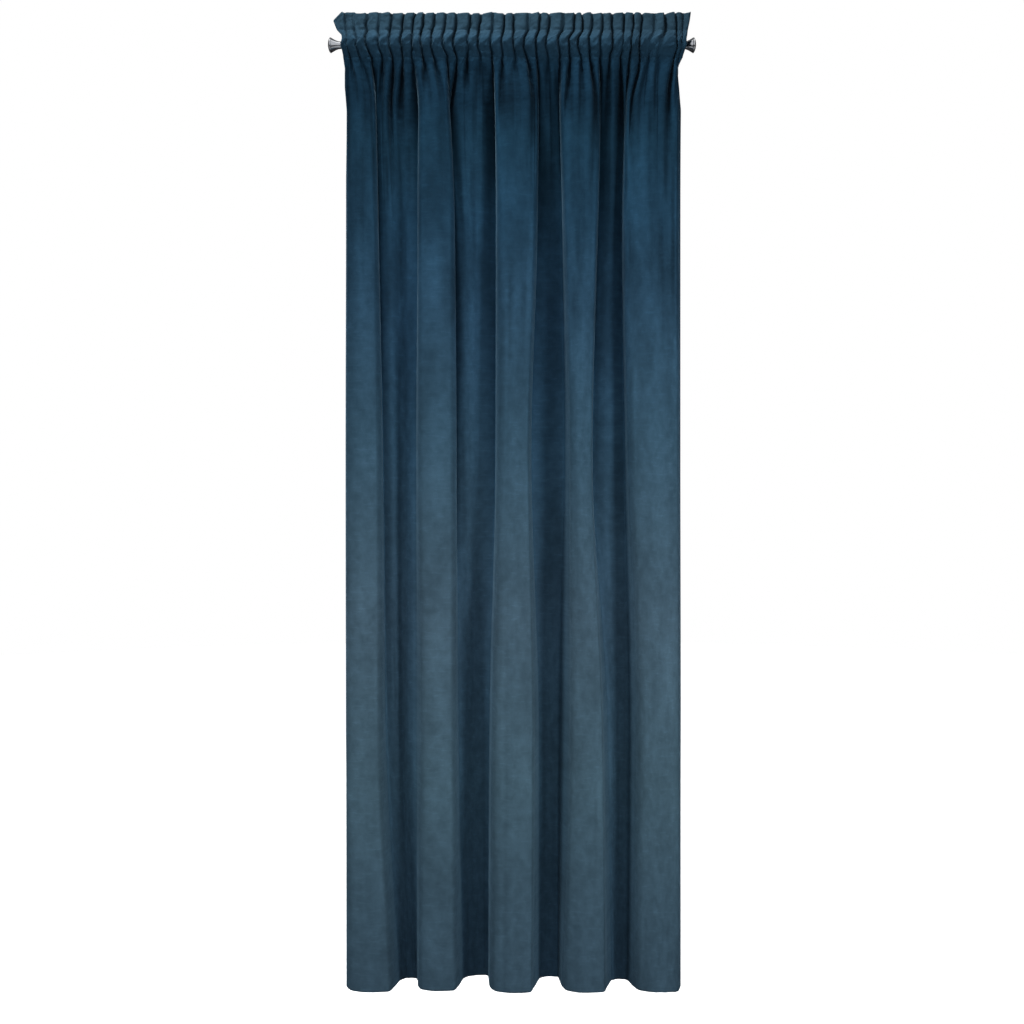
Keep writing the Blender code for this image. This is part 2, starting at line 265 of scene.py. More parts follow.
# The pile's colour with painted light and shade by height: m below the rod's axis, and the colour there.
# Painted shade makes it darker under the gathers, and painted light makes it lighter and greyer further
# down.
PILE_COLOUR_AND_PAINTED_LIGHT = (
    (-0.078, (0.022, 0.050, 0.073)),
    (-0.03, (0.020, 0.048, 0.075)),
    (0.0, (0.015, 0.043, 0.073)),
    (0.05, (0.007, 0.027, 0.051)),
    (0.14, (0.005, 0.020, 0.038)),
    (0.25, (0.008, 0.030, 0.054)),
    (0.45, (0.012, 0.039, 0.070)),
    (0.66, (0.018, 0.049, 0.084)),
    (1.0, (0.026, 0.060, 0.092)),
    (1.25, (0.032, 0.064, 0.092)),
    (1.48, (0.036, 0.066, 0.092)),
    (1.9, (0.034, 0.065, 0.088)),
    (2.2, (0.029, 0.056, 0.079)),
    (2.42, (0.026, 0.050, 0.072)),
)

# Painted shade: the pile is darker and bluer deep in the long folds, where the cloth lies back
TROUGH_PAINTED_SHADE = (0.75, 0.9, 1.03)

# The pile's uneven shades, from broad patches over crush marks and strokes to fibres: stretch
# across and down the cloth, fineness, detail, roughness, and the range of the noise with the
# shade at both its ends
PILE_SHADES = (
    ((1, 0.45, 0), 9.0, 4.0, 0.6, (0.3, 0.7, 0.85, 1.15)),
    ((1, 0.7, 0), 42.0, 5.0, 0.65, (0.35, 0.75, 0.9, 1.25)),
    ((0.35, 1.6, 0), 90.0, 2.0, 0.5, (0.55, 0.85, 1.0, 1.3)),
    ((1, 1, 0), 1400.0, 1.0, 0.5, (0.3, 0.7, 1.08, 0.88)),
)
SHEEN_TINT = (0.42, 0.74, 1.0)

# How bright the room is at each height: height of the direction from -1 to 1, brightness
ROOM = (
    (-1.0, 0.2),
    (-0.55, 0.16),
    (-0.44, 0.005),
    (-0.28, 0.005),
    (-0.17, 0.22),
    (0.2, 0.3),
    (0.7, 0.26),
    (1.0, 0.16),
)
ROOM_COLOUR = (0.96, 0.99, 1.04)

# The room darkens towards the back: direction's y from and to, brightness at both
ROOM_BEHIND = (-0.3, 0.15, 1.0, 0.1)

# How much brighter the room is in the metal than on the cloth
MIRRORED_ROOM = 2.1

# Half of the finial's outline, from the rod's end outwards: along the rod, radius
FINIAL_PROFILE = (
    (0.0, 9.3),
    (2.0, 9.3),
    (2.4, 8.9),
    (3.0, 8.9),
    (3.4, 9.2),
    (7.0, 9.25),
    (10.0, 9.6),
    (13.0, 10.3),
    (16.0, 11.35),
    (19.0, 12.6),
    (22.0, 14.1),
    (25.0, 15.8),
    (27.5, 17.15),
    (29.3, 18.1),
    (29.6, 18.6),
    (30.1, 18.9),
    (31.2, 19.0),
    (32.3, 18.9),
    (32.8, 18.5),
    (33.4, 17.6),
    (34.6, 15.6),
    (35.8, 13.0),
    (36.8, 9.6),
    (37.6, 5.4),
    (37.9, 2.4),
)
FINIAL_LENGTH = 38.0
FINIAL_SIDES = 96

# The sewing thread, the size of a stitch at its start, middle and end, and its sides
THREAD_THICKNESS = 0.7
STITCH_SIZES = (0.35, 1.0, 0.35)
STITCH_SIDES = 5

# Stitches on the tape and on the hems: how long they are, and mm from one to the next
TAPE_STITCH = (2.6, 3.6)
HEM_STITCH = (2.8, 4.2)

# Steps to both sides of a line, which give the direction that the cloth faces along it
AROUND = np.array([-1.0, 0.0, 1.0])

# The lights: name, place, aim, width and height in m, watts, spread in degrees
LIGHTS = (
    ("left", (-2.3, -2.3, -1.65), (0.0, 0.0, -1.7), (0.7, 1.2), 13.5, 85),
    ("right", (2.3, -2.3, -1.65), (0.0, 0.0, -1.7), (0.7, 1.2), 16.5, 85),
    ("front", (0.2, -3.3, -1.3), (0.0, 0.0, -1.7), (1.2, 1.2), 12, 110),
    ("top", (-0.45, -0.5, 1.2), (0.0, 0.0, -0.1), (0.5, 0.25), 10, 100),
    ("behind", (-1.4, 3.0, -0.3), (0.0, 0.0, -1.2), (1.5, 1.5), 170, 180),
)

# The camera stands in front of the middle of the drop. Its focal length was found in pixels of
# the photo, which is as wide as high.
CAMERA_PLACE = (0, -3.2, -1.2035)
FOCAL_PIXELS = 1241
PHOTO_PIXELS = 1024
SENSOR_WIDTH = 36


def smooth(at, values, where):
    """Read monotone cubic curves through values, whose first axis runs along at."""
    at = np.asarray(at, dtype=float)
    values = np.asarray(values, dtype=float)
    where = np.asarray(where, dtype=float)
    column = (-1,) + (1,) * (values.ndim - 1)
    step = np.diff(at).reshape(column)
    slope = np.diff(values, axis=0) / step
    before = slope[:-1]
    after = slope[1:]
    same_way = before * after > 0
    total = np.where(same_way, before + after, 1)
    inner = np.where(same_way, 2 * before * after / total, 0)
    tangent = np.concatenate([slope[:1], inner, slope[-1:]])
    i = np.clip(np.searchsorted(at, where, side="right") - 1, 0, len(at) - 2)
    h = step[i]
    t = (where - at[i]).reshape(column) / h
    ends = values[i] * (1 + 2 * t) * (1 - t) ** 2 + values[i + 1] * t * t * (3 - 2 * t)
    bend = h * t * (1 - t) * ((1 - t) * tangent[i] - t * tangent[i + 1])
    return ends + bend


def ramp(value, low, high):
    """0 up to low, 1 from high on, and a smooth rise between."""
    t = np.clip((value - low) / (high - low), 0, 1)
    return t * t * (3 - 2 * t)


def bumps(seed, across, down, shape):
    """Soft random waves from -1 to 1 over a table of the given shape, read at two places."""
    table = np.random.default_rng(seed).uniform(-1, 1, shape)
    u = np.clip(across, 0, shape[0] - 1.001)
    v = np.clip(down, 0, shape[1] - 1.001)
    i = u.astype(int)
    j = v.astype(int)
    s = ramp(u - i, 0, 1)
    t = ramp(v - j, 0, 1)
    near = table[i, j] * (1 - s) + table[i + 1, j] * s
    far = table[i, j + 1] * (1 - s) + table[i + 1, j + 1] * s
    return near * (1 - t) + far * t


def fold_points(level):
    """The long folds' points at one level: pleat, x, y, sorted by pleat."""
    points = []
    for left, right, *levels in LOBES:
        x_left, x_right, forward = levels[level]
        for pleat, width, depth in LOBE_SHAPE:
            x = x_left + width * (x_right - x_left)
            points.append((left + pleat * (right - left), x, -depth * forward))
    for pleat, *levels in TROUGHS:
        points.append((pleat, *levels[level]))
    return np.array(sorted(points))


def fronts(pleat, down):
    """The cloth's front surface without its pleats: x and y for each height and pleat."""
    valleys = np.array(VALLEYS)[:, :VALLEY_X]
    across = smooth(np.arange(PLEATS + 1), valleys, pleat).T
    heights = [row[0] for row in HEADING]
    x = list(smooth(np.arange(VALLEY_X), across, [row[1] for row in HEADING]))
    y = [np.full(len(pleat), row[2]) for row in HEADING]
    for level, height in enumerate(LEVELS):
        points = fold_points(level)
        heights.append(height)
        x.append(smooth(points[:, 0], points[:, 1], pleat))
        y.append(smooth(points[:, 0], points[:, 2], pleat))
    return smooth(heights, np.array(x), down), smooth(heights, np.array(y), down)


def pleat_wave(pleat, down=-FRILL):
    """How far into a valley each pleat position lies: 1 in its middle, about 0 on a ridge.

    The valleys are narrow in the heading and open out below the lower seam.
    """
    shape = np.array(PLEAT_SHAPE)
    opened = 1 + sum(more * ramp(down, SEAM + top, SEAM + end) for top, end, more in WIDENING)
    to_valley = np.abs(pleat - np.round(pleat)) / opened
    return smooth(shape[:, 0], shape[:, 1], to_valley.ravel()).reshape(to_valley.shape)


def wandering(pleat, down):
    """Pleat positions, with the valleys of the heading shifted a little to and fro."""
    p = pleat[None, :]
    d = down[:, None]
    valley = np.round(p) + 0 * d
    in_heading = 1 - ramp(d, SEAM, SEAM + 60)
    kept_in = np.clip(np.minimum(p, PLEATS - p) - 0.5, 0, 1)
    return p + WANDER * in_heading * kept_in * bumps(31, valley, (d + FRILL) / 15, (PLEATS + 2, 14))


def valley_share(pleat, down):
    """The nearest valley's share of the full depth, fading out below the lower seam."""
    table = np.array(VALLEYS)
    nearest = np.round(pleat).astype(int)
    in_heading = np.clip(down, SHARE_HEIGHTS[0], SHARE_HEIGHTS[-1])
    share = smooth(SHARE_HEIGHTS, table[nearest, VALLEY_SHARES:].T, in_heading)
    reach = table[nearest, VALLEY_REACH] * REACH_TIMES + REACH_MORE
    below = np.clip((down[:, None] - SEAM) / reach, 0, 1)
    return share * (1 - below**REACH_FADE)


def valley_depth(pleat, down):
    """Depth of the nearest valley for each height and pleat."""
    depths = [(row[0], row[3] - row[2]) for row in HEADING]
    full = np.interp(down, *zip(*depths, *OPENING))
    return full[:, None] * valley_share(pleat, down)


def pleat_chances(pleat):
    """The place across its pleat of each position, and its pleat's values from PLEAT_CHANCES."""
    number = np.floor(np.clip(pleat, 0, PLEATS - 0.001)).astype(int)
    chance = np.random.default_rng(7)
    return pleat - number, [chance.uniform(low, high, PLEATS)[number] for low, high in PLEAT_CHANCES]


def pocket_tucks(pleat, down):
    """Two slanted tucks on each pleat of the pocket, each with a hollow below it, in mm."""
    across, (centre, slant, height, second, _, _) = pleat_chances(pleat)
    in_pocket = ramp(down, -34, -24) * (1 - ramp(down, 22, 33))
    line = down - centre + slant * (across - 0.5)
    first_tuck = tuck(line, 6.5) - 0.6 * tuck(line - 13, 7.5)
    line = down - centre - second + 0.7 * slant * (0.4 - across)
    second_tuck = tuck(line, 4.0) - 0.4 * tuck(line - 7, 4.0)
    return height * in_pocket * (first_tuck + 0.45 * second_tuck)


def leaning(pleat, down):
    """How far the pleats lean, with one side out and the other in, in mm."""
    across, (*_, tilt, end) = pleat_chances(pleat)
    lean = LEAN * tilt * (across - 0.5) * (1 - ramp(down, 90, end))
    return lean * np.clip(1 - pleat_wave(pleat[None, :]), 0, 1)


def creases(pleat, down):
    """Small creases that stand out of the cloth, in mm: on the frill, the pocket and the drop.

    They press in no further than the tape and the rod behind them leave room for.
    """
    p = pleat[None, :]
    d = down[:, None]
    from_seam = np.abs(np.abs(d) - SEAM)
    pucker = np.exp(-((from_seam / PUCKER_SPREAD) ** 2))
    uneven = bumps(13, p * 3 + 0 * d, (d + FRILL) / 8, (3 * PLEATS + 2, 18))
    out = pocket_tucks(pleat, d) + PUCKER_HEIGHT * pucker * (1 + uneven)
    for seed, begin, full, fade, gone, height, in_pleat, apart, first, rows in CREASES:
        share = ramp(d, begin, full) * (1 - ramp(d, fade, gone))
        shape = (math.ceil(in_pleat * PLEATS) + 2, rows)
        out = out + height * share * bumps(seed, p * in_pleat + 0 * d, (d - first) / apart, shape)
    on_ridge = np.clip(1 - pleat_wave(p, d), 0, 1)
    off_seams = 1 - ramp(np.abs(d), 14, 26) + ramp(np.abs(d), SEAM + 2, SEAM + 11)
    out = (out * on_ridge + leaning(pleat, d)) * ramp(from_seam, 0, SEAM_FLAT)
    return np.maximum(out, -ROOM_FOR_CREASES * off_seams)


def tuck(line, width):
    """A creased ridge across a line: 1 on it, falling to 0 on both sides."""
    return np.exp(-np.sqrt((line / width) ** 2 + 0.06) + 0.245)


def panel_points(pleat, down, creased=True):
    """Points of the cloth's middle surface, in mm, for each height and pleat."""
    pleat = np.asarray(pleat, dtype=float)
    down = np.asarray(down, dtype=float)
    x, y = fronts(pleat, down)
    edges = np.array(EDGES)
    left, right = (np.interp(down, edges[:, 0], edges[:, side])[:, None] for side in (1, 2))
    x = x + left * np.clip(1 - pleat, 0, 1) + right * np.clip(pleat - PLEATS + 1, 0, 1)
    wave = pleat_wave(wandering(pleat, down), down[:, None])
    y = y + wave * valley_depth(pleat, down)
    on_frill = (1 - ramp(down, -FRILL, -SEAM))[:, None]
    if creased:
        y = y - creases(pleat, down)
        sideways = bumps(23, pleat * 2, 0 * pleat, (2 * PLEATS + 2, 3))
        x = x + FRILL_WANDER * on_frill * sideways
    uneven = FRILL_WANDER * bumps(29, pleat * 1.5, 0 * pleat, (2 * PLEATS + 2, 3))
    z = -down[:, None] - on_frill * (TOP_DIP - TOP_RISE * np.clip(wave, 0, 1) + uneven)
    return np.stack([x, y, z], axis=-1)


def pleat_places():
    """Pleat positions of the fine columns."""
    places = [whole + part for whole in range(PLEATS) for part in PLEAT_COLUMNS]
    return np.array(places + [PLEATS])


def row_places():
    """Heights of the fine rows, in mm below the rod's axis."""
    rows = []
    for first, last, count in ROW_STRETCHES:
        rows += list(np.linspace(first, last, count, endpoint=False))
    return np.array(rows + list(HEM_ROWS), dtype=float)


def square_to(points, evened=0):
    """Unit directions square to a grid of points, pointing back from the room.

    Evened out across the grid a few times, they keep the two faces apart in tight creases.
    """
    across = np.gradient(points, axis=1)
    along = np.gradient(points, axis=0)
    square = np.cross(across, along)
    square /= np.linalg.norm(square, axis=2)[:, :, None]
    for _ in range(evened):
        square[:, 1:-1] = (square[:, :-2] + 2 * square[:, 1:-1] + square[:, 2:]) / 4
        square /= np.linalg.norm(square, axis=2)[:, :, None]
    return square


def offset_back(points, distance):
    """Move rows of points back from the room, square to each row."""
    across = np.gradient(points, axis=1)
    square = np.stack([-across[..., 1], across[..., 0]], axis=-1)
    square /= np.linalg.norm(square, axis=-1)[..., None]
    moved = points.copy()
    moved[..., :2] += square * distance
    return moved


def rim_order(rows, columns):
    """Grid places round the rim: along the top, down the right, back, and up the left."""
    order = [(0, c) for c in range(columns)]
    order += [(r, columns - 1) for r in range(1, rows)]
    order += [(rows - 1, c) for c in range(columns - 2, -1, -1)]
    order += [(r, 0) for r in range(rows - 2, 0, -1)]
    return order


def closed_sheet(name, front, back, across, down, depth, looks):
    """A closed sheet from a front and a back grid, with a rounded rim.

    Its cloth attribute holds metres across, metres down and how deep in a gather a point lies, which
    sets the velvet's painted shade.
    """
    rows, columns = front.shape[:2]
    middle = (front + back) / 2
    outward = np.zeros_like(middle)
    outward[0] += middle[0] - middle[1]
    outward[-1] += middle[-1] - middle[-2]
    outward[:, 0] += middle[:, 0] - middle[:, 1]
    outward[:, -1] += middle[:, -1] - middle[:, -2]
    rim = rim_order(rows, columns)
    half = np.array([np.linalg.norm(front[p] - back[p]) / 2 for p in rim])
    edge = np.array([outward[p] for p in rim])
    edge *= (half / np.linalg.norm(edge, axis=1))[:, None]
    rim_points = np.array([middle[p] for p in rim]) + edge
    points = np.vstack([front.reshape(-1, 3), back.reshape(-1, 3), rim_points]) * MM
    count = rows * columns
    r, c = np.mgrid[: rows - 1, : columns - 1]
    corner = (r * columns + c).ravel()
    quads = np.stack([corner, corner + columns, corner + columns + 1, corner + 1], axis=1)
    faces = [*quads.tolist(), *(quads[:, ::-1] + count).tolist()]
    size = len(rim)
    for i in range(size):
        j = (i + 1) % size
        a = rim[i][0] * columns + rim[i][1]
        b = rim[j][0] * columns + rim[j][1]
        faces.append((a, b, 2 * count + j, 2 * count + i))
        faces.append((2 * count + i, 2 * count + j, b + count, a + count))
    mesh = bpy.data.meshes.new(name)
    mesh.from_pydata(points.tolist(), [], faces)
    mesh.update()
    place = np.zeros((len(points), 3), dtype=np.float32)
    width, length = np.meshgrid(across * MM, down * MM)
    grid = np.stack([width, length, depth], axis=-1).reshape(-1, 3)
    place[:count] = grid
    place[count : 2 * count] = grid
    place[2 * count :] = [grid[row * columns + column] for row, column in rim]
    layer = mesh.attributes.new("cloth", "FLOAT_VECTOR", "POINT")
    layer.data.foreach_set("vector", place.ravel())
    for look in looks:
        mesh.materials.append(look)
    slots = np.zeros(len(faces), dtype=np.int32)
    slots[len(quads) : 2 * len(quads)] = len(looks) - 1
    mesh.polygons.foreach_set("material_index", slots)
    mesh.shade_smooth()
    obj = bpy.data.objects.new(name, mesh)
    bpy.context.scene.collection.objects.link(obj)
    return obj


class Nodes:
    """A short way to write a node tree."""

    def __init__(self, name):
        self.material = bpy.data.materials.new(name)
        self.material.use_nodes = True
        self.tree = self.material.node_tree
        self.shader = self.tree.nodes["Principled BSDF"]

    def add(self, kind, **inputs):
        """Add a node, set its properties by lower-case names and its sockets by others."""
        node = self.tree.nodes.new("ShaderNode" + kind)
        for key, value in inputs.items():
            if hasattr(node, key):
                setattr(node, key, value)
            else:
                self.put(node.inputs[key.replace("_", " ")], value)
        return node

    def put(self, socket, value):
        """Link a socket to another, or set its value."""
        if isinstance(value, bpy.types.NodeSocket):
            self.tree.links.new(value, socket)
        elif isinstance(value, tuple) and len(value) == 3 and socket.type == "RGBA":
            socket.default_value = (*value, 1)
        else:
            socket.default_value = value

    def set(self, **inputs):
        """Set the shader's sockets."""
        for key, value in inputs.items():
            self.put(self.shader.inputs[key.replace("_", " ")], value)

    def scaled(self, source, scale):
        """Coordinates stretched by a scale for each axis."""
        return self.add("Mapping", Vector=source, Scale=scale).outputs["Vector"]

    def noise(self, source, scale, detail=3.0, rough=0.55):
        """Noise from 0 to 1."""
        node = self.add("TexNoise", Vector=source, Scale=scale, Detail=detail, Roughness=rough)
        return node.outputs[0]

    def ranged(self, value, low, high, to_low=0.0, to_high=1.0):
        """Map a value from one range to another."""
        node = self.add("MapRange")
        self.put(node.inputs[0], value)
        for place, number in enumerate((low, high, to_low, to_high), start=1):
            node.inputs[place].default_value = number
        return node.outputs[0]

    def math(self, kind, first, second):
        """Arithmetic on two values."""
        node = self.add("Math", operation=kind)
        self.put(node.inputs[0], first)
        self.put(node.inputs[1], second)
        return node.outputs[0]

    def ridged(self, noise, width):
        """Creased lines where a noise passes its middle: 1 on them, and 0 outside their width."""
        away = self.math("ABSOLUTE", self.math("SUBTRACT", noise, 0.5), 0.0)
        return self.ranged(away, 0.0, width, 1.0, 0.0)

    def mixed(self, share, first, second):
        """Mix two colours."""
        node = self.add("Mix", data_type="RGBA")
        self.put(node.inputs[0], share)
        self.put(node.inputs[6], first)
        self.put(node.inputs[7], second)
        return node.outputs[2]

    def graded(self, value, stops):
        """A colour that changes smoothly along a value, from a table of places and colours."""
        first = stops[0][0]
        last = stops[-1][0]
        node = self.add("ValToRGB", Fac=self.ranged(value, first, last))
        points = node.color_ramp.elements
        points[0].color = (*stops[0][1], 1)
        points[1].color = (*stops[-1][1], 1)
        for place, colour in stops[1:-1]:
            point = points.new((place - first) / (last - first))
            point.color = (*colour, 1)
        return node.outputs["Color"]

    def bump(self, height, distance, strength=1.0, below=None):
        """A bump, on top of another one if given."""
        node = self.add("Bump", Height=height, Distance=distance, Strength=strength)
        if below is not None:
            self.put(node.inputs["Normal"], below)
        return node.outputs["Normal"]


def velvet():
    """Short-pile velvet: deep petrol blue with painted light and shade, crush marks and a pale sheen on
    turning edges.
    """
    n = Nodes("velvet")
    cloth = n.add("Attribute", attribute_name="cloth").outputs["Vector"]
    parts = n.add("SeparateXYZ", Vector=cloth)
    fall = parts.outputs["Y"]
    noises = [n.noise(n.scaled(cloth, stretch), *fine) for stretch, *fine, _ in PILE_SHADES]
    _, crush, _, fibre = noises
    shade = pile_mottle_and_painted_shade(n, cloth, fall, parts.outputs["Z"], noises)
    tone = n.add("VectorMath", operation="SCALE", Vector=pile_tone_with_painted_light(n, fall), Scale=shade)
    relief = pile_relief(n, cloth, fall, crush, fibre)
    n.set(Base_Color=tone.outputs["Vector"], Normal=relief)
    n.set(Roughness=n.ranged(crush, 0.3, 0.7, 0.95, 0.78))
    n.set(Sheen_Weight=0.14, Sheen_Roughness=0.28, Sheen_Tint=SHEEN_TINT)
    n.set(Specular_IOR_Level=0.12)
    return n.material


def pile_tone_with_painted_light(n, fall):
    """The pile's colour with painted light and shade down the cloth, bluer in painted shade where the
    cloth lies back in a long fold.
    """
    # Painted light and shade: the colour changes with height down the cloth
    tone = n.graded(fall, PILE_COLOUR_AND_PAINTED_LIGHT)
    back = n.add("SeparateXYZ", Vector=n.add("TexCoord").outputs["Object"]).outputs["Y"]
    # Painted shade: darker and bluer where the cloth lies back in a long fold
    in_trough = n.math("MULTIPLY", n.ranged(back, -0.04, 0.05), n.ranged(fall, 0.3, 0.8))
    shaded_tone = n.add("VectorMath", operation="MULTIPLY")
    n.put(shaded_tone.inputs[0], tone)
    n.put(shaded_tone.inputs[1], TROUGH_PAINTED_SHADE)
    return n.mixed(in_trough, tone, shaded_tone.outputs["Vector"])


def pile_mottle_and_painted_shade(n, cloth, fall, gather, noises):
    """How light the pile is: uneven all over, with painted highlight streaks in the upper drop and
    painted shade in the gathers.
    """
    shade, *finer = [n.ranged(noise, *span) for noise, (*_, span) in zip(noises, PILE_SHADES)]
    for other in finer:
        shade = n.math("MULTIPLY", shade, other)
    # Painted highlights: lighter and darker streaks on the nap of the upper drop
    streaks = n.noise(n.scaled(cloth, (1, 0.2, 0)), 20.0, 1.0, 0.4)
    upper = n.math("MULTIPLY", n.ranged(fall, 0.05, 0.2), n.ranged(fall, 0.5, 1.0, 1.0, 0.25))
    painted_highlight_streaks = n.math("MULTIPLY", n.ranged(streaks, 0.35, 0.72, -0.2, 0.36), upper)
    shade = n.math("MULTIPLY", shade, n.math("ADD", painted_highlight_streaks, 1.0))
    uneven = n.noise(n.scaled(cloth, (0.3, 1, 0)), 70.0, 2.0)
    gather = n.math("MULTIPLY", gather, n.ranged(uneven, 0.35, 0.65, 0.7, 1.0))
    # Painted shade: the pile is darkened deep in the gathers and creases
    return n.math("MULTIPLY", shade, n.ranged(gather, 0.12, 0.95, 1.0, 0.26))


def pile_relief(n, cloth, fall, crush, fibre):
    """Slanted tucks on the pocket, crumples that fade down the drop, crush marks and fibres."""
    turned = n.add("Mapping", Vector=cloth, Rotation=(0, 0, 0.8)).outputs["Vector"]
    slanted = n.noise(n.scaled(turned, (0.35, 1, 0)), 50.0, 0.0, 0.4)
    pocket = n.ranged(fall, -0.034, -0.024), n.ranged(fall, 0.03, 0.07, 1.0, 0.0)
    tucked = n.math("MULTIPLY", n.ridged(slanted, 0.14), n.math("MULTIPLY", *pocket))
    folded = n.noise(n.scaled(cloth, (1, 1.4, 0)), 34.0, 1.0, 0.4)
    heading = n.ranged(fall, 0.04, 0.3, 1.0, 0.12)
    crumple = n.math("MULTIPLY", n.ridged(folded, 0.16), heading)
    relief = n.bump(tucked, 0.003, 0.6)
    relief = n.bump(crumple, 0.0018, 0.5, relief)
    relief = n.bump(crush, 0.0016, 0.4, relief)
    return n.bump(fibre, 0.00035, 0.5, relief)


def woven(name, light, dark, thread, sheen):
    """A plain weave: threads over and under each other, with uneven colour."""
    n = Nodes(name)
    cloth = n.add("Attribute", attribute_name="cloth").outputs["Vector"]
    parts = n.add("SeparateXYZ", Vector=cloth)
    turns = math.pi / thread
    warp = n.math("SINE", n.math("MULTIPLY", parts.outputs["X"], turns), 0.0)
    weft = n.math("SINE", n.math("MULTIPLY", parts.outputs["Y"], turns), 0.0)
    weave = n.ranged(n.math("MULTIPLY", warp, weft), -1, 1)
    broad = n.noise(n.scaled(cloth, (1, 1, 0)), 12.0, 4.0)
    slub = n.noise(n.scaled(cloth, (0.15, 1, 0)), 500.0, 2.0)
    tone = n.mixed(n.ranged(weave, 0.2, 0.8), dark, light)
    tone = n.mixed(n.ranged(broad, 0.35, 0.7, 0.0, 0.3), tone, dark)
    tone = n.mixed(n.ranged(slub, 0.55, 0.8, 0.0, 0.35), tone, light)
    normal = n.bump(weave, thread * 0.35, 0.6)
    n.set(Base_Color=tone, Roughness=n.ranged(slub, 0.3, 0.7, 0.8, 0.92), Normal=normal)
    n.set(Sheen_Weight=sheen, Sheen_Roughness=0.5, Specular_IOR_Level=0.2)
    return n.material


def metal(name, colour, rough_low, rough_high):
    """Bright metal with faint turning marks and smears."""
    n = Nodes(name)
    place = n.add("TexCoord").outputs["Object"]
    smear = n.noise(place, 60.0, 3.0)
    rings = n.noise(n.scaled(place, (1, 0.02, 0.02)), 900.0, 2.0)
    dull = tuple(0.8 * part for part in colour)
    n.set(Base_Color=n.mixed(n.ranged(smear, 0.4, 0.8, 0.0, 0.5), colour, dull), Metallic=1.0)
    n.set(Roughness=n.ranged(smear, 0.3, 0.7, rough_low, rough_high))
    n.set(Normal=n.bump(rings, 0.0001, 0.15))
    return n.material


def thread_look():
    """Sewing thread, a little lighter than the cloth."""
    n = Nodes("thread")
    twist = n.noise(n.add("TexCoord").outputs["Object"], 2500.0, 1.0)
    tone = n.mixed(n.ranged(twist, 0.3, 0.7), (0.03, 0.07, 0.1), (0.09, 0.15, 0.2))
    n.set(Base_Color=tone, Roughness=0.7)
    n.set(Normal=n.bump(twist, 0.0002, 0.5))
    return n.material


def painted_gather_shade(pleat, down):
    """How deep in a gather or a crease the cloth lies, which sets its painted shade: 0 outside, about 1
    at the bottom.

    Below the heading it fades out, because light reaches into the open valleys.
    """
    strength = 0.8 + 0.35 * ramp(down, SEAM, SEAM + 25)
    strength = strength * (1 - ramp(down, SEAM + 70, SEAM + 360))
    wave = np.clip(pleat_wave(wandering(pleat, down), down[:, None]), 0, 1)
    in_valley = valley_share(pleat, down) * strength[:, None] * wave
    in_crease = np.clip(-creases(pleat, down) / 7, 0, 0.65)
    return np.maximum(in_valley, in_crease * ramp(down, SEAM, SEAM + 20)[:, None])


def hem_share(pleat, down):
    """1 where the cloth is turned over in a hem, and 0 elsewhere."""
    from_side = np.minimum(pleat, PLEATS - pleat)[None, :] * PLEAT_CLOTH
    from_hem = (DROP - down)[:, None]
    at_side = 1 - ramp(from_side, SIDE_HEM - SIDE_HEM_STEP, SIDE_HEM + SIDE_HEM_STEP)
    at_bottom = 1 - ramp(from_hem, BOTTOM_HEM - BOTTOM_HEM_STEP, BOTTOM_HEM + BOTTOM_HEM_STEP)
    return np.maximum(np.where(down[:, None] > SEAM + 10, at_side, 0), at_bottom)


def curtain_cloth(looks):
    """The panel: fine folds, a rounded rim, and hems turned to the back."""
    across = pleat_places()
    down = row_places()
    middle = panel_points(across, down)
    square = square_to(middle, evened=6)
    half = CLOTH_THICKNESS / 2
    front = middle - square * half
    back = middle + square * (half + HEM_THICKNESS * hem_share(across, down))[:, :, None]
    # Painted shade: how dark the velvet is drawn in the gathers and creases
    depth = painted_gather_shade(across, down)
    return closed_sheet("velvet_cloth", front, back, across * PLEAT_CLOTH, down, depth, looks)


def tape_surface(across, down):
    """Middle surface of the tape: along the panel at its seams, and round the rod between."""
    panel = panel_points(across, down, creased=False)
    sewn = offset_back(panel, CLOTH_THICKNESS / 2 + TAPE_GAP + TAPE_THICKNESS / 2)
    heights = [row[0] for row in TAPE]
    front = smooth(heights, [row[1] for row in TAPE], down)
    fold = smooth(heights, [row[2] for row in TAPE], down)
    wave = np.clip(pleat_wave(across), 0, 1)
    own = panel.copy()
    own[..., 1] = front[:, None] + (fold - front)[:, None] * wave
    share = ramp(np.abs(down), 20, SEAM - 4)[:, None, None]
    return own * (1 - share) + sewn * share


def tape_cloth(looks):
    """The gathered heading tape."""
    across = pleat_places()
    across = across[(across > TAPE_INSET) & (across < PLEATS - TAPE_INSET)]
    down = np.linspace(-SEAM - TAPE_MARGIN, SEAM + TAPE_MARGIN, TAPE_ROWS)
    middle = tape_surface(across, down)
    square = square_to(middle)
    half = TAPE_THICKNESS / 2
    front = middle - square * half
    back = middle + square * half
    depth = np.zeros(middle.shape[:2])
    return closed_sheet("tape_cloth", front, back, across * PLEAT_CLOTH, down, depth, looks)


def linked(name, mesh, look):
    """A smooth object with one material from a bmesh, linked to the scene."""
    bmesh.ops.recalc_face_normals(mesh, faces=mesh.faces)
    data = bpy.data.meshes.new(name)
    mesh.to_mesh(data)
    mesh.free()
    data.shade_smooth()
    data.materials.append(look)
    obj = bpy.data.objects.new(name, data)
    bpy.context.scene.collection.objects.link(obj)
    return obj


def bridged(mesh, rings):
    """Faces between each ring of points and the next."""
    for first, second in zip(rings, rings[1:]):
        for turn in range(len(first)):
            other = (turn + 1) % len(first)
            mesh.faces.new((first[turn], first[other], second[other], second[turn]))


